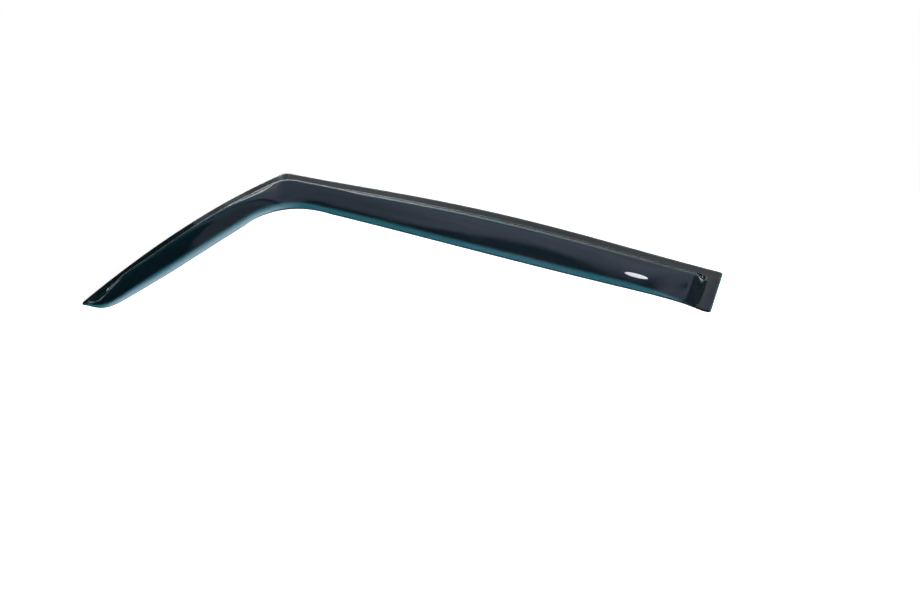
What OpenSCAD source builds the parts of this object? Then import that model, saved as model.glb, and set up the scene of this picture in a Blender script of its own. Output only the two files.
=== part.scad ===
// Window rain deflector for a front side window: a thermoformed tinted acrylic
// visor that is stuck to the door by foam tape. The long run follows the top of
// the window frame and the leg goes down the windscreen pillar.
// It lies face up, as it rests on a table. X runs along the top run towards the
// rear end, Y towards the top edge and Z up.

/* [Outline in plan] */
// Length of the top run, from the corner to the rear end
top_len = 780; // [700:1:860]
// Length of the pillar leg, from the corner to the tip
leg_len = 425; // [380:1:470]
// Angle between the two runs at the corner
corner_angle = 107.7; // [100:0.1:116]
// Radius of the outer corner
corner_r = 9; // [6:0.5:14]
// How far the top edge bows outwards at its middle
top_bow = 19.7; // [14:0.1:26]
// How much of that bow is drawn in towards the ends
top_bow_draw = 14.2; // [6:0.1:16]
// How far the leg's outer edge bows inwards at its middle
leg_bow = 4.8; // [0:0.1:10]
// Radius of the two rear corners and of the tip
end_r = 5; // [3:0.5:7]

/* [Widths] */
// Width of the rear end
rear_w = 92.5; // [84:0.5:100]
// Width from the corner's level to the free edge where the corner begins
front_w = 88; // [80:0.5:96]
// How far the free edge swells outwards along the top run
belly = 8.5; // [4:0.1:12]
// Width of the leg where it leaves the corner
leg_top_w = 72.5; // [64:0.5:80]
// Width of the leg where its sweep to the tip begins
leg_low_w = 64.5; // [56:0.5:70]
// Width of the tip's blunt end
tip_w = 14; // [10:0.5:20]

/* [Section] */
// Thickness of the acrylic sheet
sheet_t = 3; // [2.5:0.1:3.5]
// Width of the flat flange along the top run
top_flange_w = 15; // [13:0.5:18]
// Width of the flat flange along the leg
leg_flange_w = 11; // [10.5:0.5:14]
// Distance from the top edge to the crest, in the middle of the top run
top_crest_d = 42.5; // [38:0.5:48]
// How much nearer the edge the crest runs at the corner
corner_crest_pull = 9.5; // [6:0.5:12]
// Distance from the corner where the crest leaves the run to turn it gently
corner_soft = 32; // [24:1:40]
// Distance from the top edge to the crest, at the rear end
rear_crest_d = 32.5; // [30:0.5:42]
// Distance from the leg's outer edge to its crest
leg_crest_d = 25; // [22:0.5:30]
// Height of the crest above the flange along the top run
top_crest_h = 17; // [14:0.5:22]
// Height of the crest above the flange at the rear end
rear_crest_h = 11.3; // [9:0.1:14]
// Height of the crest above the flange along the leg
leg_crest_h = 10; // [7:0.5:14]
// Height of the free edge above the flange along the top run
free_edge_h = 12; // [8:0.5:13]
// Height of the free edge above the top run's flange along the leg
leg_free_edge_h = 10; // [7:0.5:13]
// How high the leg arches between the corner and the tip
leg_arch = 22.5; // [14:0.5:30]
// How sharply the riser turns into the flange and the crest, 0.5 being softest
riser_round = 0.3; // [0.2:0.05:0.5]
// How full the panel is between the crest and the free edge
panel_fullness = 1.7; // [1.3:0.1:2.4]
// Width of the flat land across the rear end
rear_land_w = 15; // [13:0.5:20]
// Length of the slope from the rear land up to the panel
rear_rise_l = 28; // [20:1:40]
// Length of the flat land at the tip
tip_land_l = 24; // [16:1:32]
// Length of the slope from the tip's land up to the leg's panel
tip_rise_l = 70; // [40:1:90]

/* [Tape] */
// Width of the foam tape
tape_w = 8; // [6:0.5:9]
// Thickness of the foam tape
tape_t = 1.1; // [0.8:0.1:1.6]
// Thickness of the red film that covers the adhesive
liner_t = 0.2; // [0.1:0.05:0.3]
// Distance from the visor's edge to the tape
tape_inset = 2; // [1.5:0.1:2.2]
// Space left between two lengths of tape
tape_gap = 4; // [2:0.5:8]

/* [Hidden] */

TINT = [0.13, 0.16, 0.18];
FOAM = [0.16, 0.16, 0.17];
FILM = [0.72, 0.09, 0.08];

// Height of the flange's top face above the surface that the part lies on
flange_z = sheet_t + tape_t + liner_t;
// The origin is on the top tape's face, below the middle of the top run
origin = [top_len / 2, top_bow - tape_inset - tape_w / 2, 0];

// Directions along the leg and across it towards the window
leg_dir = [cos(corner_angle), -sin(corner_angle)];
leg_in = [sin(corner_angle), cos(corner_angle)];
// The free edge turns the corner between these two distances from it
turn_top = 140;
turn_leg = 152;
// The outer edge's places that face those two, as shares of them
turn_top_pull = 0.9;
turn_leg_pull = 0.92;
// The turn's control point, as shares of the leg's and the top run's width
turn_in = 0.56;
turn_down = 0.917;
// Share of the leg's top width that is left where the turn ends
turn_narrow = 0.944;
// The leg narrows in a sweep below this distance from the corner
sweep_from = 0.705 * leg_len;
sweep_over = leg_len - sweep_from;
// The sweep's two control points: how far along it they are, and their shares of
// the leg's low width and of the free edge's height
sweep_along = [0.75, 0.86];
sweep_wide = [0.84, 0.86];
sweep_high = [0.8, 0.4];
// The free edge's swell grows up to this share of the top run
belly_to = 0.77;
// It narrows to the rear end's width from this share, over that one
rear_narrow_from = 0.79;
rear_narrow_over = 0.2;
// How far the rear end's edge slants towards the corner at its free end
rear_slant = 4;
// The free edge comes down to the rear land over this length
free_drop_l = 165;
// The crest moves to the leg's distance from this far before the corner, over that length
crest_in_from = 80;
crest_in_l = 260;
// Its pull at the corner lasts this far along the top run, then ends over that length
pull_top = 60;
pull_top_l = 110;
// Along the leg the pull ends over this length
pull_leg_l = 70;
// The crest changes towards the rear end over this length
crest_rear_l = 365;
// The flange's width and the crest's height change this far to each side of the corner
crest_turn_l = 90;
// How round the two ends of the slopes at the rear end and the tip are
rise_round = 0.35;
// At the narrow tip, the most of the width that the flange and the crest may take
flange_most = 0.3;
crest_most = 0.6;
// A miter line is longer than a line square to the edges by this factor
miter = 1 / sin(corner_angle / 2);

// Numbers of steps along each stretch, and across the flange, the riser and the panel
n_top = 34;
n_turn = 20;
n_leg = 8;
n_sweep = 14;
n_flange = 2;
n_riser = 8;
n_panel = 8;
n_strip = 40;

// Smooth step from 0 to 1
function ease(x) = let (c = max(0, min(1, x))) c * c * (3 - 2 * c);
function mix(a, b, x) = a + (b - a) * x;
// A slope from 0 to 1 that is straight between two round ends, each r long
function ramp(x, r) = let (c = max(0, min(1, x)))
    c < r ? c * c / (2 * r * (1 - r))
    : c > 1 - r ? 1 - (1 - c) * (1 - c) / (2 * r * (1 - r))
    : (c - r / 2) / (1 - r);
// A hump that is 0 at both ends, 1 at its middle
function hump(x) = 1 - pow(2 * x - 1, 2);
function bezier2(a, b, c, x) = mix(mix(a, b, x), mix(b, c, x), x);
function bezier3(a, b, c, d, x) = mix(bezier2(a, b, c, x), bezier2(b, c, d, x), x);
// A point of the leg from its distance along, its distance in from the outer edge's chord, and its height
function leg_point(along, inward, z) =
    let (p = along * leg_dir + inward * leg_in) [p.x, p.y, z];

// The outer edge, from its distance to the corner: negative along the top run
function top_edge(u) = let (x = 2 * u / top_len - 1)
    [u, hump(u / top_len) * (top_bow - top_bow_draw * x * x), 0];
function leg_edge(l) = let (h = hump(l / leg_len))
    leg_point(l, h * leg_bow, h * leg_arch);
function outer_edge(g) =
    g < -corner_r ? top_edge(-g)
    : g > corner_r ? leg_edge(g)
    : bezier2(top_edge(corner_r), [0, 0, 0], leg_edge(corner_r), (g + corner_r) / (2 * corner_r));

// The free edge, stretch by stretch, each from 0 to 1
function free_top_z(u) = let (drop = (u - (top_len - rear_land_w - free_drop_l)) / free_drop_l)
    free_edge_h * (1 - pow(max(0, min(1, drop)), 3))
    - (free_edge_h - leg_free_edge_h) * (1 - ease(u / (2 * turn_top)));
function free_top(x) = let (u = mix(top_len - rear_slant, turn_top, x))
    [u, -(front_w + belly * ease(u / (belly_to * top_len))
        - (front_w + belly - rear_w) * ease((u / top_len - rear_narrow_from) / rear_narrow_over)),
        free_top_z(u)];
turn_start = free_top(1);
turn_end = leg_point(turn_leg, leg_top_w * turn_narrow, leg_free_edge_h);
turn_corner = [leg_top_w * turn_in, -front_w * turn_down, leg_free_edge_h];
sweep_start = leg_point(sweep_from, leg_low_w, leg_free_edge_h);
function sweep_control(k) = leg_point(
    sweep_from + sweep_along[k] * sweep_over, leg_low_w * sweep_wide[k], leg_free_edge_h * sweep_high[k]);
sweep_end = leg_point(leg_len - end_r, tip_w, 0);
function free_edge(q) =
    q <= 1 ? free_top(q)
    : q <= 2 ? bezier2(turn_start, turn_corner, turn_end, q - 1)
    : q <= 3 ? mix(turn_end, sweep_start, q - 2)
    : bezier3(sweep_start, sweep_control(0), sweep_control(1), sweep_end, q - 3);

// The distance along the outer edge that goes with each place q along the free edge
function outer_place(q) =
    q <= 1 ? mix(-top_len, -turn_top * turn_top_pull, q)
    : q <= 2 ? mix(-turn_top * turn_top_pull, turn_leg * turn_leg_pull, q - 1)
    : q <= 3 ? mix(turn_leg * turn_leg_pull, sweep_from, q - 2)
    : mix(sweep_from, leg_len, q - 3);

// Round ends: how far the edge draws back at a distance from a square corner
function draw_back(d) = d >= end_r ? 0 : end_r - sqrt(end_r * end_r - pow(end_r - d, 2));

// Sizes of the section at each station
function leg_share(g) = ease((g + crest_turn_l) / (2 * crest_turn_l));
function turn_lean(q) = 1 + (miter - 1) * hump(max(0, min(1, q - 1)));
function flange_width(q, g, w) =
    min(flange_most * w, mix(top_flange_w, leg_flange_w, leg_share(g)) * turn_lean(q));
function fade_share(g) = ease((crest_rear_l - top_len - g) / (crest_rear_l - rear_land_w));
function crest_distance(q, g, w) =
    let (
        top = mix(top_crest_d, rear_crest_d, fade_share(g)),
        all = mix(top, leg_crest_d, ease((g + crest_in_from) / crest_in_l)),
        away = g < 0 ? (-g - pull_top) / pull_top_l : g / pull_leg_l,
        pull = corner_crest_pull * (1 - ease(away))
    ) min(crest_most * w, (all - pull) * turn_lean(q));
function crest_height(g) =
    let (
        rear_share = ramp((top_len - rear_land_w + g) / rear_rise_l, rise_round),
        tip_share = ramp((leg_len - tip_land_l - g) / tip_rise_l, rise_round),
        top = mix(top_crest_h, rear_crest_h, fade_share(g))
    ) mix(top, leg_crest_h, leg_share(g)) * rear_share * tip_share;

// How far the crest's gentler turn lies inside the outer corner
function soft_turn(g) =
    let (x = (g + corner_soft) / (2 * corner_soft))
    abs(g) >= corner_soft ? [0, 0, 0]
    : bezier2(top_edge(corner_soft), [0, 0, 0], leg_edge(corner_soft), x) - outer_edge(g);

// A point of the upper face at station q. Across, c runs from 0 to 1 over the
// flange, to 2 over the riser and to 3 over the panel.
function face(q, c) =
    let (
        g = outer_place(q),
        o = outer_edge(g),
        i = free_edge(q),
        w = norm([i.x - o.x, i.y - o.y]),
        flange = flange_width(q, g, w),
        crest = crest_distance(q, g, w),
        crest_z = o.z + crest_height(g),
        d = c < 1 ? flange * c
            : c < 2 ? mix(flange, crest, c - 1)
            : mix(crest, w, c - 2),
        z = c < 2 ? mix(o.z, crest_z, ramp(c - 1, riser_round))
            : mix(crest_z, i.z, pow(c - 2, panel_fullness)),
        back = draw_back(min(g + top_len, leg_len - g)),
        share = mix(back, w - back, d / w) / w,
        soft = soft_turn(g),
        over_flange = max(0, min(1, c, 3 - c)),
        over_crest = max(0, min(c - 1, 3 - c))
    )
    [mix(o.x, i.x, share) + soft.x * over_flange, mix(o.y, i.y, share) + soft.y * over_flange,
        z + soft.z * over_crest + flange_z];

// The direction out of the upper face, from two short steps on it
function face_normal(q, c) =
    let (
        s = 0.001,
        along = face(min(q + s, 4), c) - face(max(q - s, 0), c),
        over = face(q, min(c + s, 3)) - face(q, max(c - s, 0)),
        n = cross(along, over)
    ) n / norm(n);
// The same point of the visor's lower face, or of a layer further down
function below(q, c, depth) = face(q, c) - depth * face_normal(q, c);

// Stations from the rear end to the tip, closer together where the rear end rises
stations = concat(
    [for (i = [0 : n_top - 1]) pow(i / n_top, 1.5)],
    [for (i = [0 : n_turn - 1]) 1 + i / n_turn],
    [for (i = [0 : n_leg - 1]) 2 + i / n_leg],
    [for (i = [0 : n_sweep]) 3 + i / n_sweep]);
across = concat(
    [for (i = [0 : n_flange - 1]) i / n_flange],
    [for (i = [0 : n_riser - 1]) 1 + i / n_riser],
    [for (i = [0 : n_panel]) 2 + i / n_panel]);

// A closed sheet between two grids of points, each a list of rows of one length
module sheet_between(upper, lower) {
    rows = len(upper);
    cols = len(upper[0]);
    size = rows * cols;
    function at(side, r, c) = side * size + r * cols + c;
    faces = concat(
        [for (r = [0 : rows - 2], c = [0 : cols - 2], k = [0, 1])
            k == 0 ? [at(0, r, c), at(0, r + 1, c + 1), at(0, r + 1, c)]
            : [at(0, r, c), at(0, r, c + 1), at(0, r + 1, c + 1)]],
        [for (r = [0 : rows - 2], c = [0 : cols - 2], k = [0, 1])
            k == 0 ? [at(1, r, c), at(1, r + 1, c), at(1, r + 1, c + 1)]
            : [at(1, r, c), at(1, r + 1, c + 1), at(1, r, c + 1)]],
        [for (r = [0 : rows - 2], k = [0, 1])
            k == 0 ? [at(0, r, 0), at(1, r + 1, 0), at(1, r, 0)]
            : [at(0, r, 0), at(0, r + 1, 0), at(1, r + 1, 0)]],
        [for (r = [0 : rows - 2], k = [0, 1])
            k == 0 ? [at(0, r, cols - 1), at(1, r, cols - 1), at(1, r + 1, cols - 1)]
            : [at(0, r, cols - 1), at(1, r + 1, cols - 1), at(0, r + 1, cols - 1)]],
        [for (c = [0 : cols - 2], k = [0, 1])
            k == 0 ? [at(0, 0, c), at(1, 0, c), at(1, 0, c + 1)]
            : [at(0, 0, c), at(1, 0, c + 1), at(0, 0, c + 1)]],
        [for (c = [0 : cols - 2], k = [0, 1])
            k == 0 ? [at(0, rows - 1, c), at(1, rows - 1, c + 1), at(1, rows - 1, c)]
            : [at(0, rows - 1, c), at(0, rows - 1, c + 1), at(1, rows - 1, c + 1)]]);
    polyhedron([for (grid = [upper, lower], row = grid, p = row) p - origin], faces);
}

module visor() color(TINT) sheet_between(
    [for (q = stations) [for (c = across) face(q, c)]],
    [for (q = stations) [for (c = across) below(q, c, sheet_t)]]);

// The top tape's outline: the top edge moved inwards by a distance
top_tape_from = corner_r + tape_gap;
top_tape_to = top_len - tape_inset;
function top_line(inset) = [for (i = [0 : n_strip])
    let (
        u = mix(top_tape_from, top_tape_to, i / n_strip),
        run = top_edge(u + 1) - top_edge(u - 1),
        across_run = [run.y, -run.x] / norm(run),
        p = top_edge(u)
    ) [p.x + inset * across_run.x - origin.x, p.y + inset * across_run.y - origin.y]];
module top_strip(z, thick) translate([0, 0, z]) linear_extrude(thick)
    polygon(concat(top_line(tape_inset), [for (i = [n_strip : -1 : 0]) top_line(tape_inset + tape_w)[i]]));
module top_tape() color(FOAM) top_strip(liner_t, tape_t);
module top_liner() color(FILM) top_strip(0, liner_t);

// The rear tape lies on the rear end's flat land, along its slanted edge
module rear_strip(z, thick) {
    length = rear_w - 2 * tape_inset - tape_w - tape_gap;
    slant = rear_slant * length / rear_w;
    inner = top_len - tape_inset - tape_w - rear_slant + slant;
    translate([inner - origin.x, -rear_w + tape_inset - origin.y, z])
        linear_extrude(thick) polygon([
            [-slant, 0], [tape_w - slant, 0], [tape_w, length], [0, length]]);
}
module rear_tape() color(FOAM) rear_strip(liner_t, tape_t);
module rear_liner() color(FILM) rear_strip(0, liner_t);

// The pillar tape bends with the leg's flange. This hair below it keeps the facets of
// the two from crossing
glue = 0.02;
pillar_from = corner_soft;
pillar_to = leg_len - tip_land_l;
pillar_stations = [for (q = stations) if (outer_place(q) > pillar_from && outer_place(q) < pillar_to) q];
// Shares of the flange at a distance from the outer edge, measured square to it
function flange_place(q, inset) =
    let (
        g = outer_place(q),
        o = outer_edge(g),
        i = free_edge(q),
        line = [i.x - o.x, i.y - o.y],
        w = norm(line)
    ) inset / abs(cross(line / w, leg_dir)) / flange_width(q, g, w);
module pillar_strip(depth, thick) sheet_between(
    [for (q = pillar_stations) [for (inset = [tape_inset, tape_inset + tape_w])
        below(q, flange_place(q, inset), depth)]],
    [for (q = pillar_stations) [for (inset = [tape_inset, tape_inset + tape_w])
        below(q, flange_place(q, inset), depth + thick)]]);
module pillar_tape() color(FOAM) pillar_strip(sheet_t + glue, tape_t - glue);
module pillar_liner() color(FILM) pillar_strip(sheet_t + tape_t, liner_t);

visor();
top_tape();
top_liner();
pillar_tape();
pillar_liner();
rear_tape();
rear_liner();
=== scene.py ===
"""A window rain deflector, as it lies on a white table: one thermoformed visor of smoked
acrylic with foam tape and red release film under its flange."""
import math

import bpy
import numpy as np
from mathutils import Matrix, Vector


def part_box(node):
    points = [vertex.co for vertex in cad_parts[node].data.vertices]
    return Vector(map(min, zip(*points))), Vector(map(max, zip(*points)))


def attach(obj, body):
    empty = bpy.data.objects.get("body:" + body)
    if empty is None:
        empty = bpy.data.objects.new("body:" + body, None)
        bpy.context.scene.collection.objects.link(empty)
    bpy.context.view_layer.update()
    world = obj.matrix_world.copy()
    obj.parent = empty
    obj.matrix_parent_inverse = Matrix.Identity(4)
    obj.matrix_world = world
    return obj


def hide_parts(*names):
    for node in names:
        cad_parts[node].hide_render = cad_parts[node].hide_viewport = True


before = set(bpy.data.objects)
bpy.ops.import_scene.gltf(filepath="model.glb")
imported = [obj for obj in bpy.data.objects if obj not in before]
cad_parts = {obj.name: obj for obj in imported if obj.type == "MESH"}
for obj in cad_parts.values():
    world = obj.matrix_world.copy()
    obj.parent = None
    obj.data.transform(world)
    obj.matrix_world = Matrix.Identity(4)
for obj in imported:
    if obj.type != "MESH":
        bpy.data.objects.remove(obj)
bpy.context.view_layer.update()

# The visor. One sheet of smoked blue acrylic, heated and drawn over a form: a flat flange
# for the tape, a riser up to a crest, and a panel that falls to a free edge lifted off the
# window. Its cut edges are flame polished, so they are a little round.
top_length = 0.780
leg_length = 0.425
corner_angle = math.radians(107.7)
corner_radius = 0.009
corner_soft = 0.032
miter = 1 / math.sin(corner_angle / 2)
top_bow = 0.0197
top_bow_draw = 0.0142
leg_bow = 0.0048
leg_arch = 0.0225
end_radius = 0.005
sheet_thickness = 0.003

# The free edge: how far in from the outer edge and how high it runs, its turn at the inner
# corner, and its sweep to the tip. Pulls are shares of those lengths, widths and heights.
rear_width = 0.0925
rear_slant = 0.004
rear_narrow_from = 0.79
rear_narrow_over = 0.2
front_width = 0.088
belly = 0.0085
belly_to = 0.77
leg_top_width = 0.0725
leg_low_width = 0.0645
tip_width = 0.014
free_edge_height = 0.012
leg_free_edge_height = 0.010
free_drop = 0.165
turn_top = 0.140
turn_leg = 0.152
turn_top_pull = 0.9
turn_leg_pull = 0.92
turn_in = 0.56
turn_down = 0.917
turn_narrow = 0.944
sweep_from = 0.705 * leg_length
sweep_over = leg_length - sweep_from
sweep_pulls = [(0.75, 0.84, 0.8), (0.86, 0.86, 0.4)]

# The flange's width, and the crest's distance in and its height, from the rear end to the
# tip. The flat land at each end is where the crest has faded out.
top_flange = 0.015
leg_flange = 0.011
flange_most = 0.3
top_crest_in = 0.0425
rear_crest_in = 0.0325
leg_crest_in = 0.025
crest_in_from = 0.080
crest_in_over = 0.260
crest_most = 0.6
corner_crest_pull = 0.0095
pull_top_from = 0.060
pull_top_over = 0.110
pull_leg_over = 0.070
top_crest_height = 0.017
rear_crest_height = 0.0113
leg_crest_height = 0.010
rear_crest_over = 0.365
crest_turn = 0.090
riser_round = 0.3
rise_round = 0.35
panel_fullness = 1.7
rear_land = 0.015
rear_rise = 0.028
tip_land = 0.024
tip_rise = 0.070

# The tape under the flange carries the sheet. Its middle along the top run is the origin.
tape_inset = 0.002
tape_width = 0.008
tape_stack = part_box("rear_tape")[1][2]
flange_top = tape_stack + sheet_thickness
origin = np.array([top_length / 2, top_bow - tape_inset - tape_width / 2, 0.0])
leg_along = np.array([math.cos(corner_angle), -math.sin(corner_angle), 0.0])
leg_inward = np.array([math.sin(corner_angle), math.cos(corner_angle), 0.0])
upward = np.array([0.0, 0.0, 1.0])


def ease(x):
    """3x² − 2x³ between 0 and 1, and flat outside."""
    x = np.clip(x, 0, 1)
    return x * x * (3 - 2 * x)


def ramp(x, r):
    """A straight slope from 0 to 1 whose ends are parabolas over a share r of its length."""
    x = np.clip(x, 0, 1)
    foot = x * x / (2 * r * (1 - r))
    head = 1 - (1 - x) ** 2 / (2 * r * (1 - r))
    return np.where(x < r, foot, np.where(x > 1 - r, head, (x - r / 2) / (1 - r)))


def hump(x):
    """1 − (2x − 1)²: 0 at both ends and 1 in the middle."""
    return 1 - (2 * x - 1) ** 2


def bezier(points, x):
    """A Bezier curve by repeated linear mixing of its control points."""
    points = [np.asarray(p) for p in points]
    while len(points) > 1:
        points = [a + (b - a) * x for a, b in zip(points, points[1:])]
    return points[0]


def leg_point(along, inward, height):
    """Along the leg, in from its outer chord, and up, from the corner."""
    return along * leg_along + inward * leg_inward + height * upward


def top_edge(u):
    """The top run's outer edge: a bow of a parabola less a quartic, flat on the table."""
    x = 2 * u / top_length - 1
    bow = hump(u / top_length) * (top_bow - top_bow_draw * x * x)
    return np.concatenate([u, bow, 0 * u], -1)


def leg_edge(g):
    """The leg's outer edge: a parabola inwards in plan and another upwards."""
    h = hump(g / leg_length)
    return leg_point(g, h * leg_bow, h * leg_arch)


def corner_turn(g, reach):
    """A Bezier turn round the corner, from a reach before it to a reach after it."""
    ends = [top_edge(np.full_like(g, reach)), np.zeros(3), leg_edge(np.full_like(g, reach))]
    return bezier(ends, (np.clip(g, -reach, reach) + reach) / (2 * reach))


def outer_edge(g):
    """The whole outer edge by distance from the corner, which a short turn rounds."""
    straight = np.where(g < 0, top_edge(-g), leg_edge(g))
    return np.where(np.abs(g) <= corner_radius, corner_turn(g, corner_radius), straight)


def soft_corner(g):
    """How far the crest's gentler turn lies inside the outer corner: a long turn less the
    outer edge itself."""
    return np.where(np.abs(g) < corner_soft, corner_turn(g, corner_soft) - outer_edge(g), 0)


def free_top(x):
    """The free edge along the top run: an eased swell in plan, and a drop by a cube to the
    rear land."""
    rear_end = top_length - rear_slant
    u = rear_end + (turn_top - rear_end) * x
    narrowing = ease((u - rear_narrow_from * top_length) / (rear_narrow_over * top_length))
    v = front_width + belly * ease(u / (belly_to * top_length))
    v = v - (front_width + belly - rear_width) * narrowing
    drop = np.clip((u - (top_length - rear_land - free_drop)) / free_drop, 0, 1)
    z = free_edge_height * (1 - drop**3)
    z = z - (free_edge_height - leg_free_edge_height) * (1 - ease(u / (2 * turn_top)))
    return np.concatenate([u, -v, z], -1)


def free_edge(q):
    """The free edge from the rear end at q = 0: the top run to 1, a Bezier turn to 2, a
    straight stretch down the leg to 3, and a Bezier sweep to the tip at 4."""
    turn_start = free_top(np.ones((1, 1)))[0]
    turn_corner = [turn_in * leg_top_width, -turn_down * front_width, leg_free_edge_height]
    turn_end = leg_point(turn_leg, turn_narrow * leg_top_width, leg_free_edge_height)
    sweep = [leg_point(sweep_from, leg_low_width, leg_free_edge_height)]
    for along, wide, high in sweep_pulls:
        inward, height = wide * leg_low_width, high * leg_free_edge_height
        sweep.append(leg_point(sweep_from + along * sweep_over, inward, height))
    sweep.append(leg_point(leg_length - end_radius, tip_width, 0))
    shares = [np.clip(q - stretch, 0, 1) for stretch in range(4)]
    top = free_top(shares[0])
    turn = bezier([turn_start, turn_corner, turn_end], shares[1])
    leg = bezier([turn_end, sweep[0]], shares[2])
    tip = bezier(sweep, shares[3])
    return np.where(q <= 1, top, np.where(q <= 2, turn, np.where(q <= 3, leg, tip)))


def crest_line(g):
    """How far in and how high the crest is by the place on the outer edge: it changes from
    the top run's distance to the leg's by an eased step, is pulled to the edge near the
    corner and, lower, near the rear end, and ramps take its height to nothing at both ends."""
    to_rear = ease((rear_crest_over - top_length - g) / (rear_crest_over - rear_land))
    inward = top_crest_in + (rear_crest_in - top_crest_in) * to_rear
    inward = inward + (leg_crest_in - inward) * ease((g + crest_in_from) / crest_in_over)
    from_corner = np.where(g < 0, (-g - pull_top_from) / pull_top_over, g / pull_leg_over)
    inward = inward - corner_crest_pull * (1 - ease(from_corner))
    height = top_crest_height + (rear_crest_height - top_crest_height) * to_rear
    height = height + (leg_crest_height - height) * ease((g + crest_turn) / (2 * crest_turn))
    height = height * ramp((top_length - rear_land + g) / rear_rise, rise_round)
    return inward, height * ramp((leg_length - tip_land - g) / tip_rise, rise_round)


def face(q, c):
    """The upper face at station q and share c across: 0 to 1 over the flange, to 2 up the
    riser and to 3 down the panel. Each station is a straight line in plan from the outer
    edge to the free edge, drawn in by a circle at both ends of the visor. Round the corner
    it leans, so its flange and crest are longer by up to the miter. The height is a ramp up
    the riser and a power curve down the panel, and the soft corner moves all but the edges."""
    q, c = np.broadcast_arrays(q, c)
    flat_q, c = q.reshape(-1, 1), c.reshape(-1, 1)
    turn_from, turn_to = -turn_top_pull * turn_top, turn_leg_pull * turn_leg
    g = np.interp(flat_q, range(5), [-top_length, turn_from, turn_to, sweep_from, leg_length])
    outer, free = outer_edge(g), free_edge(flat_q)
    span = free - outer
    width = np.hypot(span[:, :1], span[:, 1:2])
    lean = 1 + (miter - 1) * hump(np.clip(flat_q - 1, 0, 1))
    on_leg = ease((g + crest_turn) / (2 * crest_turn))
    flat = top_flange + (leg_flange - top_flange) * on_leg
    flange = np.minimum(flange_most * width, flat * lean)
    inward, height = crest_line(g)
    crest = np.minimum(crest_most * width, inward * lean)
    crest_z = outer[:, 2:] + height
    over_riser = flange + (crest - flange) * (c - 1)
    over_panel = crest + (width - crest) * (c - 2)
    d = np.where(c < 1, flange * c, np.where(c < 2, over_riser, over_panel))
    up_riser = outer[:, 2:] + (crest_z - outer[:, 2:]) * ramp(c - 1, riser_round)
    down_panel = crest_z + (free[:, 2:] - crest_z) * np.clip(c - 2, 0, 1) ** panel_fullness
    z = np.where(c < 2, up_riser, down_panel)
    to_end = np.minimum(np.minimum(g + top_length, leg_length - g), end_radius)
    back = end_radius - np.sqrt(np.maximum(end_radius**2 - (end_radius - to_end) ** 2, 0))
    share = (back + (width - 2 * back) * d / width) / width
    inside = soft_corner(g)
    over_flange = np.clip(np.minimum(c, 3 - c), 0, 1)
    over_crest = np.clip(np.minimum(c - 1, 3 - c), 0, 1)
    plan = outer + inside * over_flange + span * share
    height = z + inside[:, 2:] * over_crest + flange_top
    points = np.concatenate([plan[:, :2], height], -1) - origin
    return points.reshape(q.shape + (3,))


def face_normal(q, c):
    """The cross product of two short steps on the face, one along and one across."""
    step = 0.001
    along = face(np.minimum(q + step, 4), c) - face(np.maximum(q - step, 0), c)
    across = face(q, np.minimum(c + step, 3)) - face(q, np.maximum(c - step, 0))
    n = np.cross(along, across)
    return n / np.linalg.norm(n, axis=-1, keepdims=True)


def distance(q, c, to_q, to_c):
    """The straight distance between two places on the face."""
    return np.linalg.norm(face(to_q, to_c) - face(q, c), axis=-1)


top_steps, turn_steps, tip_steps = 150, 150, 80
stations = np.concatenate([
    1 - np.cos(np.linspace(0, np.pi / 2, top_steps, endpoint=False)),
    np.linspace(1, 3, turn_steps, endpoint=False),
    3 + np.sin(np.linspace(0, np.pi / 2, tip_steps)),
])[:, None]
flange_steps, riser_steps, panel_steps = 6, 26, 28
across = np.concatenate([
    np.linspace(0, 1, flange_steps, endpoint=False),
    np.linspace(1, 2, riser_steps, endpoint=False),
    np.linspace(2, 3, panel_steps),
])[None, :]

# The face's metres per unit of q at both ends, over a nudge half way up the riser.
nudge = 0.02
riser_middle = 1.5
rear_rate = distance(stations[:1], riser_middle, stations[:1] + nudge, riser_middle) / nudge
tip_rate = distance(stations[-1:] - nudge, riser_middle, stations[-1:], riser_middle) / nudge


def inset(margin):
    """The face and its normals on a grid that starts a margin in from the edge all round:
    the margin over the face's metres per unit gives the shares that it takes."""
    rear, tip = margin / rear_rate, margin / tip_rate
    q = np.where(stations < 1, rear + stations * (1 - rear), stations)
    q = np.where(stations > 3, 4 - tip - (4 - stations) * (1 - tip), q)
    flange = margin * nudge / distance(q, 0.0, q, nudge)
    panel = margin * nudge / distance(q, 3.0, q, 3.0 - nudge)
    c = np.where(across < 1, flange + across * (1 - flange), across)
    c = np.where(across > 2, 3 - panel - (3 - across) * (1 - panel), c)
    return face(q, c), face_normal(q, c)


def around(grid):
    """The outermost points of a grid, once round: the flange's edge, the tip, the free edge
    and the rear end."""
    return np.concatenate([grid[:, 0], grid[-1, 1:], grid[-2::-1, -1], grid[0, -2:0:-1]])


def add_object(name, points, faces):
    """An object in the scene from its points and its faces, smoothly shaded."""
    mesh = bpy.data.meshes.new(name)
    mesh.from_pydata(np.reshape(points, (-1, 3)).tolist(), [], faces)
    mesh.shade_smooth()
    made = bpy.data.objects.new(name, mesh)
    bpy.context.collection.objects.link(made)
    return made


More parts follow.
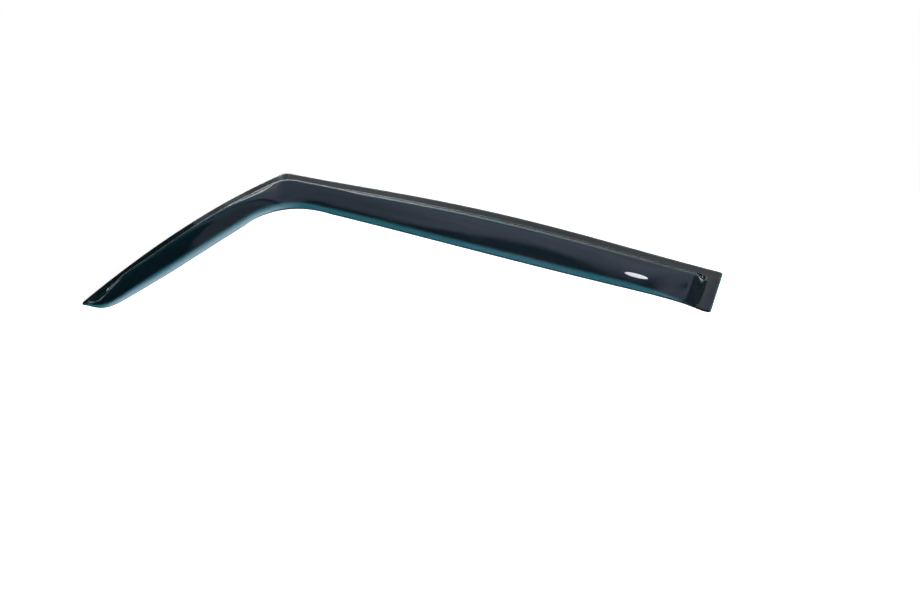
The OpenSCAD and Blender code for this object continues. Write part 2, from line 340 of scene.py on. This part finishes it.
def sheet(name, upper, lower, walls):
    """A closed sheet from two grids of points and the rings of points of the wall round it."""
    rows, cols = upper.shape[:2]
    at = np.arange(rows * cols).reshape(rows, cols)
    under = at + rows * cols
    top = np.stack([at[:-1, :-1], at[1:, :-1], at[1:, 1:], at[:-1, 1:]], -1)
    base = np.stack([under[:-1, :-1], under[:-1, 1:], under[1:, 1:], under[1:, :-1]], -1)
    rings = 2 * rows * cols + np.arange(walls[..., 0].size).reshape(walls.shape[:2])
    loops = np.concatenate([around(at)[None], rings, around(under)[None]])
    after = np.roll(loops, -1, axis=1)
    wall = np.stack([loops[:-1], loops[1:], after[1:], after[:-1]], -1)
    points = np.concatenate([part.reshape(-1, 3) for part in (upper, lower, walls)])
    faces = np.concatenate([part.reshape(-1, 4) for part in (top, base, wall)])
    return add_object(name, points, faces.tolist())


# The wall round the sheet: a quarter round at each face, in rings of points that turn over
# the edge from the face to its side.
edge_round = 0.0007
visor_top, normals = inset(edge_round)
upper_rings, lower_rings = [], []
for turn in np.radians([30, 60, 90]):
    points, facing = inset(edge_round * (1 - np.sin(turn)))
    fall = edge_round * (1 - np.cos(turn))
    upper_rings.append(around(points - fall * facing))
    lower_rings.append(around(points - (sheet_thickness - fall) * facing))
edge_rings = np.array(upper_rings + lower_rings[::-1])
visor_base = visor_top - sheet_thickness * normals
visor = sheet("smoked_visor", visor_top, visor_base, edge_rings)
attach(visor, "root")
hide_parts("visor")


def visor_mask(name, on_face, on_rings):
    """A share from 0 to 1 for every point of the visor, which its material reads by name."""
    mask = visor.data.attributes.new(name, "FLOAT", "POINT")
    shares = np.concatenate([on_face.ravel(), on_face.ravel(), on_rings.ravel()])
    mask.data.foreach_set("value", shares)


# Two masks of painted light for the tint: a painted glow that makes it lighter over the panel
# towards the leg's free edge, and painted shade that darkens the cut edge all round but for the
# free edge.
# Painted glow: near the leg's free edge the tint turns lighter and bluer, fading in past the corner
# and out before the tip.
pale_from, pale_full = 1.3, 1.8
pale_fade, pale_end = 3.5, 3.95
pale_across = 2.77
painted_glow = ease((stations - pale_from) / (pale_full - pale_from))
painted_glow = painted_glow * (1 - ease((stations - pale_fade) / (pale_end - pale_fade)))
painted_glow = painted_glow * ease((across - pale_across) / (3 - pale_across))
visor_mask("painted_glow", painted_glow, np.tile(around(painted_glow), len(edge_rings)))
# Painted shade: the edge wall's rings are darkened all round, but for those along the free edge.
free_from = stations.size + across.size - 1
painted_edge_shade = np.ones(edge_rings.shape[:2])
painted_edge_shade[:, free_from:free_from + stations.size - 1] = 0
visor_mask("painted_edge_shade", np.zeros_like(painted_glow), painted_edge_shade)


def set_sockets(tree, node, sockets):
    """Fills a shader node's inputs, each by a value or by a link from another node."""
    for socket, value in sockets.items():
        if isinstance(value, bpy.types.NodeSocket):
            tree.links.new(value, node.inputs[socket])
        else:
            node.inputs[socket].default_value = value


def add_node(tree, kind, sockets=None, **settings):
    """A new shader node with its settings and its inputs."""
    node = tree.nodes.new("ShaderNode" + kind)
    for setting, value in settings.items():
        setattr(node, setting, value)
    set_sockets(tree, node, sockets or {})
    return node


def between(tree, share, first, second):
    """The colour that lies between two others by a share from 0 to 1."""
    mix = add_node(tree, "Mix", {"Factor": share, "A": first, "B": second}, data_type="RGBA")
    return mix.outputs["Result"]


def new_material(name):
    """A new material, with its node tree and its Principled shader."""
    material = bpy.data.materials.new(name)
    material.use_nodes = True
    return material, material.node_tree, material.node_tree.nodes["Principled BSDF"]


def smoked_acrylic():
    """Tinted clear plastic. Lamps and soft light pass straight through it with its tint, and
    sight rays bend in it. A slow waviness from the mould and faint wiping marks vary its gloss."""
    material, tree, shader = new_material("smoked_acrylic")
    place = add_node(tree, "TexCoord").outputs["Object"]
    cast = add_node(tree, "TexNoise", {"Vector": place, "Scale": 9, "Detail": 2}).outputs["Fac"]
    smoke = between(tree, cast, (0.017, 0.108, 0.146, 1), (0.021, 0.124, 0.166, 1))
    # Painted glow and painted shade go into the tint that sight rays see.
    painted_glow_share = add_node(tree, "Attribute", attribute_name="painted_glow").outputs["Fac"]
    painted_edge_shade_share = add_node(tree, "Attribute", attribute_name="painted_edge_shade").outputs["Fac"]
    with_painted_glow = between(tree, painted_glow_share, smoke, (0.33, 0.46, 0.54, 1))
    with_painted_edge_shade = between(tree, painted_edge_shade_share, with_painted_glow, (0.004, 0.006, 0.007, 1))
    stretch = add_node(tree, "Mapping", {"Vector": place, "Scale": (0.3, 1, 1)})
    wipe = add_node(tree, "TexNoise", {
        "Vector": stretch.outputs["Vector"], "Scale": 40, "Detail": 5})
    haze = add_node(tree, "MapRange", {
        "Value": wipe.outputs["Fac"],
        "From Min": 0.35, "From Max": 0.75, "To Min": 0.03, "To Max": 0.09})
    wave = add_node(tree, "Bump", {"Height": cast, "Strength": 0.25, "Distance": 0.001})
    set_sockets(tree, shader, {
        "Metallic": 0, "IOR": 1.49, "Transmission Weight": 1, "Base Color": with_painted_edge_shade,
        "Roughness": haze.outputs["Result"], "Normal": wave.outputs["Normal"]})
    # Light that passes straight through keeps the plain smoke, without the painted glow or painted
    # shade.
    passed = add_node(tree, "Gamma", {"Color": smoke, "Gamma": 1.1})
    clear = add_node(tree, "BsdfTransparent", {"Color": passed.outputs["Color"]})
    ray = add_node(tree, "LightPath")
    straight_through = add_node(tree, "Math", {
        0: ray.outputs["Is Shadow Ray"], 1: ray.outputs["Is Diffuse Ray"]}, operation="MAXIMUM")
    both = add_node(tree, "MixShader", {
        0: straight_through.outputs["Value"], 1: shader.outputs["BSDF"], 2: clear.outputs["BSDF"]})
    set_sockets(tree, tree.nodes["Material Output"], {"Surface": both.outputs["Shader"]})
    return material


visor.data.materials.append(smoked_acrylic())

# The badge. A plain oval of bright silver foil with a domed clear face, blank, stuck to the
# panel near its rear end.
badge_from_corner = 0.656
badge_across = 0.56
badge_panel_width = 0.066
badge_length = 0.036
badge_width = 0.0085
badge_dome = 0.0006
badge_dome_fall = 0.8
badge_seat = 0.00002
badge_steps = 72


def badge_point(along, over, lift):
    """A point at two distances from the badge's middle, lifted off the panel's face: the
    first runs towards the corner, the second towards the free edge."""
    run = top_length - rear_slant - turn_top
    q = (top_length - rear_slant - badge_from_corner + along) / run
    c = 2 + badge_across + over / badge_panel_width
    return face(q, c) + lift[..., None] * face_normal(q, c)


badge_turn = np.linspace(0, 2 * np.pi, badge_steps, endpoint=False)[:, None]
badge_rings = np.array([[0.25, 0.5, 0.75, 0.9, 0.97, 1.0]])
badge_along = badge_rings * np.cos(badge_turn) * badge_length / 2
badge_over = badge_rings * np.sin(badge_turn) * badge_width / 2
badge_lift = badge_dome * (1 - badge_dome_fall * badge_rings**6)
badge_top = badge_point(badge_along, badge_over, badge_lift)
badge_base = badge_point(badge_along[:, -1:], badge_over[:, -1:], np.array([[badge_seat]]))
badge_centre = np.zeros((2, 1))
badge_middles = badge_point(badge_centre, badge_centre, np.array([[badge_dome], [badge_seat]]))
badge_grid = np.concatenate([badge_top, badge_base], 1)
badge_points = np.concatenate([badge_grid.reshape(-1, 3), badge_middles.reshape(-1, 3)])
badge_at = np.arange(badge_grid[..., 0].size).reshape(badge_grid.shape[:2])
badge_next = np.roll(badge_at, -1, axis=0)
badge_sides = np.stack([
    badge_at[:, :-1], badge_at[:, 1:], badge_next[:, 1:], badge_next[:, :-1]], -1)
top_middle = np.full(badge_steps, badge_at.size)
badge_cap = np.stack([top_middle, badge_at[:, 0], badge_next[:, 0]], -1)
badge_floor = np.stack([top_middle + 1, badge_next[:, -1], badge_at[:, -1]], -1)
badge_faces = badge_sides.reshape(-1, 4).tolist() + badge_cap.tolist() + badge_floor.tolist()
badge = add_object("silver_badge", badge_points, badge_faces)
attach(badge, "root")


def silver_foil():
    """Brushed silver foil under a smooth clear dome."""
    material, tree, shader = new_material("silver_foil")
    place = add_node(tree, "TexCoord").outputs["Object"]
    along = add_node(tree, "Mapping", {"Vector": place, "Scale": (0.05, 1, 1)})
    brushing = add_node(tree, "TexNoise", {
        "Vector": along.outputs["Vector"], "Scale": 400}).outputs["Fac"]
    gloss = add_node(tree, "MapRange", {"Value": brushing, "To Min": 0.22, "To Max": 0.38})
    set_sockets(tree, shader, {
        "Base Color": between(tree, brushing, (0.72, 0.73, 0.75, 1), (0.90, 0.91, 0.92, 1)),
        "Roughness": gloss.outputs["Result"],
        "Metallic": 0.6, "Coat Weight": 1, "Coat Roughness": 0.04})
    return material


badge.data.materials.append(silver_foil())

# The foam tape. Closed-cell acrylic foam 8 mm wide, cut to length and pressed onto the back
# of the flange along the top run, down the leg and across the rear end.
def foam():
    """Charcoal foam with fine closed cells and a matt skin."""
    material, tree, shader = new_material("tape_foam")
    place = add_node(tree, "TexCoord").outputs["Object"]
    cells = add_node(tree, "TexVoronoi", {"Vector": place, "Scale": 1600}).outputs["Distance"]
    pits = add_node(tree, "Bump", {"Height": cells, "Strength": 0.4, "Distance": 0.0002})
    set_sockets(tree, shader, {
        "Base Color": between(tree, cells, (0.022, 0.022, 0.025, 1), (0.055, 0.055, 0.060, 1)),
        "Normal": pits.outputs["Normal"], "Roughness": 0.85})
    return material


def dress(names, material):
    """Gives CAD nodes one material in place of their own."""
    for name in names:
        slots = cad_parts[name].data.materials
        slots.clear()
        slots.append(material)


dress(("top_tape", "pillar_tape", "rear_tape"), foam())

# The release film. Thin red polyethylene over each tape's adhesive, peeled off when the
# visor is fitted. It is glossy, with shallow creases from the roll.
def red_film():
    """Glossy red film, slightly uneven in colour, with long shallow creases."""
    material, tree, shader = new_material("release_film")
    place = add_node(tree, "TexCoord").outputs["Object"]
    crease = add_node(tree, "TexNoise", {
        "Vector": place, "Scale": 120, "Detail": 3}).outputs["Fac"]
    fold = add_node(tree, "Bump", {"Height": crease, "Strength": 0.3, "Distance": 0.0003})
    set_sockets(tree, shader, {
        "Base Color": between(tree, crease, (0.42, 0.012, 0.010, 1), (0.62, 0.030, 0.022, 1)),
        "Normal": fold.outputs["Normal"], "Roughness": 0.28})
    return material


dress(("top_liner", "pillar_liner", "rear_liner"), red_film())

# The table. A seamless white top that fills the view and takes the visor's faint shadow. A
# straight look at it is lifted a little past white, as in a bright studio exposure.
table_reach = 6.0
table_far_edge = 0.30
table = add_object("table_top", [
    (-table_reach, -table_reach, 0), (table_reach, -table_reach, 0),
    (table_reach, table_far_edge, 0), (-table_reach, table_far_edge, 0),
], [(0, 1, 2, 3)])
table_white, table_tree, table_shader = new_material("table_white")
table_look = add_node(table_tree, "LightPath").outputs["Is Camera Ray"]
table_lift = add_node(table_tree, "MapRange", {"Value": table_look, "To Max": 0.85})
set_sockets(table_tree, table_shader, {
    "Base Color": (1, 1, 1, 1), "Roughness": 1, "Specular IOR Level": 0,
    "Emission Color": (1, 1, 1, 1), "Emission Strength": table_lift.outputs["Result"]})
table.data.materials.append(table_white)

# The studio. A plain dim room, white to a straight look, with white panels round the visor
# for its gloss: a wide one behind it, brightest at its foot, and dimmer ones on the other
# sides. A soft lamp hangs above, and a low one reaches in under the lifted free edge.
room = bpy.data.worlds.new("plain_room")
bpy.context.scene.world = room
room.use_nodes = True
room_ray = add_node(room.node_tree, "LightPath")
straight_look = add_node(room.node_tree, "Math", {
    0: room_ray.outputs["Is Camera Ray"], 1: room_ray.outputs["Is Transmission Ray"],
}, operation="MAXIMUM")
room_level = add_node(room.node_tree, "MapRange", {
    "Value": straight_look.outputs["Value"], "To Min": 0.035, "To Max": 1.0})
set_sockets(room.node_tree, room.node_tree.nodes["Background"], {
    "Color": (1, 1, 1, 1), "Strength": room_level.outputs["Result"]})

# The wide panel's columns: where each stands, its foot, its bright top, and how far the dim
# stretch above that reaches.
panel_columns = np.array([
    (-2.05, 0.34, 1.35, 2.55),
    (-1.75, 0.34, 1.35, 2.55),
    (-1.62, 0.34, 1.90, 2.40),
    (-1.45, 0.34, 2.00, 2.20),
    (-1.00, 0.34, 1.74, 1.93),
    (-0.45, 0.34, 1.48, 1.69),
    (-0.10, 0.34, 1.34, 1.47),
    (0.10, 0.34, 1.24, 1.42),
    (0.27, 0.44, 1.24, 1.42),
    (0.45, 0.46, 1.60, 1.80),
    (0.50, 0.46, 2.10, 2.30),
    (0.80, 0.46, 2.10, 2.30),
    (0.90, 0.46, 0.57, 0.68),
    (1.15, 0.46, 0.57, 0.68),
    (1.70, 0.46, 0.57, 0.68),
])
panel_x, panel_foot, panel_top, panel_dim_to = panel_columns.T
panel_back = 1.1
panel_head = 2.7
soft_below = 0.06
soft_above = 0.02
dim_level = 0.17
head_level = 0.62
panel_rows = np.stack([
    panel_foot, panel_top - soft_below, panel_top + soft_above,
    panel_dim_to, panel_dim_to + soft_below, np.full_like(panel_top, panel_head),
])
panel_levels = np.repeat([1.0, dim_level, head_level], 2)[:, None] * np.ones_like(panel_x)

# The last columns, at the right, are low, and dimmer above than the others.
low_columns = 3
low_dim_level = 0.04
low_head_level = 0.24
panel_levels[2:4, -low_columns:] = low_dim_level
panel_levels[4:, -low_columns:] = low_head_level
panel_points = np.stack([
    np.broadcast_to(panel_x, panel_rows.shape), np.full_like(panel_rows, panel_back), panel_rows,
], -1)
panel_at = np.arange(panel_rows.size).reshape(panel_rows.shape)
panel_faces = np.stack([
    panel_at[:-1, :-1], panel_at[:-1, 1:], panel_at[1:, 1:], panel_at[1:, :-1]], -1)
white_panel = add_object("white_panel", panel_points, panel_faces.reshape(-1, 4).tolist())
panel_fade = white_panel.data.attributes.new("fade", "FLOAT", "POINT")
panel_fade.data.foreach_set("value", panel_levels.ravel())


def glow_material(name):
    """A material that only gives off light, with its node tree and its Emission shader."""
    material, tree, shader = new_material(name)
    tree.nodes.remove(shader)
    glow = add_node(tree, "Emission")
    set_sockets(tree, tree.nodes["Material Output"], {"Surface": glow.outputs["Emission"]})
    return material, tree, glow


panel_glow, panel_tree, panel_light = glow_material("panel_glow")
panel_place = add_node(panel_tree, "TexCoord").outputs["Object"]
panel_axes = add_node(panel_tree, "SeparateXYZ", {"Vector": panel_place})


def band(axis, start, end, low, high):
    """An eased change of brightness from low to high along one axis of the panel."""
    eased = add_node(panel_tree, "MapRange", {
        "Value": panel_axes.outputs[axis],
        "From Min": start, "From Max": end, "To Min": low, "To Max": high,
    }, interpolation_type="SMOOTHSTEP")
    return eased.outputs["Result"]


def together(operation, first, *others):
    """Adds or multiplies brightnesses."""
    for other in others:
        joined = add_node(panel_tree, "Math", {0: first, 1: other}, operation=operation)
        first = joined.outputs["Value"]
    return first


# The wide panel's brightness: a middle level and four brighter patches, each a product of
# bands, and over them all the faint folds of its cloth and the fade of its rows.
panel_middle = band("X", -1.05, -0.45, 0.52, 0.85)
low_left = together(
    "MULTIPLY",
    band("Z", 1.08, 1.01, 0, 1), band("Z", 0.86, 0.94, 0, 1), band("X", -0.40, -0.90, 0, 0.40))
left_side = together("MULTIPLY", band("X", -1.48, -1.65, 0, 0.40), band("Z", 1.45, 1.20, 0, 1))
foot_left = together(
    "MULTIPLY",
    band("Z", 0.76, 0.66, 0, 1), band("X", -1.75, -1.50, 0.25, 1), band("X", -0.10, -1.10, 1, 6.5))
foot_right = together("MULTIPLY", band("Z", 0.56, 0.52, 0, 1), band("X", 1.10, 1.30, 0, 3.6))
panel_white = together("ADD", panel_middle, left_side, foot_left, foot_right, low_left)
folds_along = add_node(panel_tree, "Mapping", {"Vector": panel_place, "Scale": (1.5, 1, 14)})
folds = add_node(panel_tree, "TexNoise", {"Vector": folds_along.outputs["Vector"], "Scale": 1})
fold_shade = add_node(panel_tree, "MapRange", {
    "Value": folds.outputs["Fac"],
    "From Min": 0.3, "From Max": 0.7, "To Min": 0.8, "To Max": 1.2})
fade = add_node(panel_tree, "Attribute", attribute_name="fade")
set_sockets(panel_tree, panel_light, {
    "Strength": together(
        "MULTIPLY", panel_white, fold_shade.outputs["Result"], fade.outputs["Fac"]),
    "Color": between(
        panel_tree, band("Z", 1.00, 1.15, 0, 1), (0.92, 0.97, 1.01, 1), (0.84, 0.92, 1.22, 1))})
white_panel.data.materials.append(panel_glow)


def reflected_only(panel):
    """Lets a panel show in gloss and nowhere else."""
    panel.visible_camera = False
    panel.visible_transmission = False
    panel.visible_diffuse = False
    panel.visible_shadow = False


reflected_only(white_panel)
for name, strength, corners in (
    ("ceiling_panel", 0.40, [
        (-0.25, 0.8, 2.2), (-0.25, 1.45, 2.2), (1.6, 1.45, 2.2), (1.6, 0, 2.2), (0.45, 0.25, 2.2)]),
    ("front_panel", 0.45, [
        (1.6, -2.4, 0.5), (-1.6, -2.4, 0.5), (-1.6, -2.4, 1.7), (1.6, -2.4, 1.7)]),
    ("left_panel", 0.45, [
        (-2.6, -1.6, 0.4), (-2.6, -0.4, 0.4), (-2.6, -0.4, 1.5), (-2.6, -1.6, 1.5)]),
    ("left_strip", 2.2, [
        (-2.6, -0.12, 0.9), (-2.6, 0.05, 0.9), (-2.6, 0.05, 1.8), (-2.6, -0.12, 1.8)]),
    ("right_panel", 0.45, [
        (2.6, 0.6, 0.4), (2.6, -1.6, 0.4), (2.6, -1.6, 1.5), (2.6, 0.6, 1.5)]),
):
    plain_glow, plain_tree, plain_light = glow_material(name + "_glow")
    set_sockets(plain_tree, plain_light, {"Color": (0.88, 0.94, 1.12, 1), "Strength": strength})
    plain_panel = add_object(name, corners, [tuple(range(len(corners)))])
    plain_panel.data.materials.append(plain_glow)
    reflected_only(plain_panel)


def add_lamp(name, kind, energy, place, aim):
    """A lamp at a place that shines along its aim and doesn't show in gloss."""
    lamp = bpy.data.lights.new(name, kind)
    lamp.energy = energy
    stand = bpy.data.objects.new(name, lamp)
    stand.location = place
    stand.rotation_euler = aim.to_track_quat("-Z", "Y").to_euler()
    stand.visible_glossy = False
    stand.visible_transmission = False
    bpy.context.collection.objects.link(stand)
    return lamp


top_lamp_place = Vector((0.35, 0.45, 0.8))
top_lamp_aim = Vector((0.0, -0.1, 0.0)) - top_lamp_place
top_lamp = add_lamp("top_lamp", "AREA", energy=4.0, place=top_lamp_place, aim=top_lamp_aim)
top_lamp.size = 0.6
front_key_aim = Vector((-0.68, 0.73, -0.35))
front_key = add_lamp("front_key", "SUN", energy=8.6, place=Vector(), aim=front_key_aim)
front_key.angle = math.radians(5)

# The camera. Solved from the outlines in the photograph: it stands in front of the visor
# and looks down on it.
camera_data = bpy.data.cameras.new("camera")
camera = bpy.data.objects.new("camera", camera_data)
bpy.context.collection.objects.link(camera)
camera_data.sensor_width = 36.0
camera_data.lens = 32.5
camera_place = Vector((0.7617, -1.0228, 0.8926 + flange_top)) - Vector(origin)
camera_ahead = Vector((-0.2712, 0.6482, -0.7116)).normalized()
camera_level = Vector((0.9225, 0.3860, 0.0)).normalized()
camera_above = camera_level.cross(camera_ahead)
roll = -0.03296
right = camera_level * math.cos(roll) + camera_above * math.sin(roll)
up = camera_above * math.cos(roll) - camera_level * math.sin(roll)
camera.matrix_world = Matrix((
    (right.x, up.x, -camera_ahead.x, camera_place.x),
    (right.y, up.y, -camera_ahead.y, camera_place.y),
    (right.z, up.z, -camera_ahead.z, camera_place.z),
    (0, 0, 0, 1),
))
bpy.context.scene.camera = camera
bpy.context.scene.view_settings.view_transform = "Standard"
